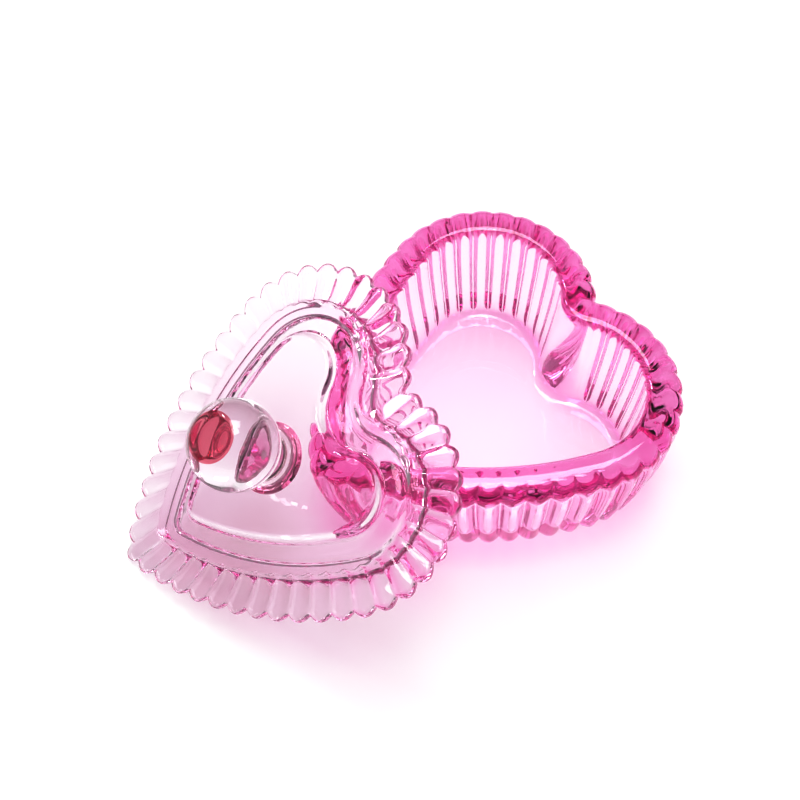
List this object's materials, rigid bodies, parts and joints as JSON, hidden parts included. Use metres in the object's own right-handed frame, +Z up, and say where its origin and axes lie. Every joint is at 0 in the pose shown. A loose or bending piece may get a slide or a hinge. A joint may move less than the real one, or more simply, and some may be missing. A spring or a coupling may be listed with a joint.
{
  "type": "heart-shaped glass trinket box",
  "caption": "Heart-shaped pressed-glass trinket box: fluted bowl, scalloped lid leaning open against it, clear ball knob on a rose collar.",
  "frame": {"origin": "middle of the bowl's flat foot, on the surface the box stands on", "axes": "+Z up; +Y towards the cleft of the heart, -Y towards its tip and the leaning lid; +X to the right seen from the tip"},
  "size_m": [0.1061, 0.1508, 0.0642],
  "materials": {
    "pink_glass": "clear pressed glass, strong pink, fire-polished",
    "lid_glass": "clear pressed glass, pale lilac pink, fire-polished",
    "rose_glass": "clear salmon-rose glass",
    "clear_glass": "clear glass, nearly colourless"
  },
  "bodies": {
    "bowl": {"bowl": "pink_glass"},
    "lid": {"lid": "lid_glass", "knob_collar": "rose_glass", "knob": "clear_glass"}
  },
  "joints": [
    {"name": "lid_lift", "type": "slide", "parent": "bowl", "child": "lid", "axis": [0, 0, 1], "range_m": [0, 0.09]}
  ]
}
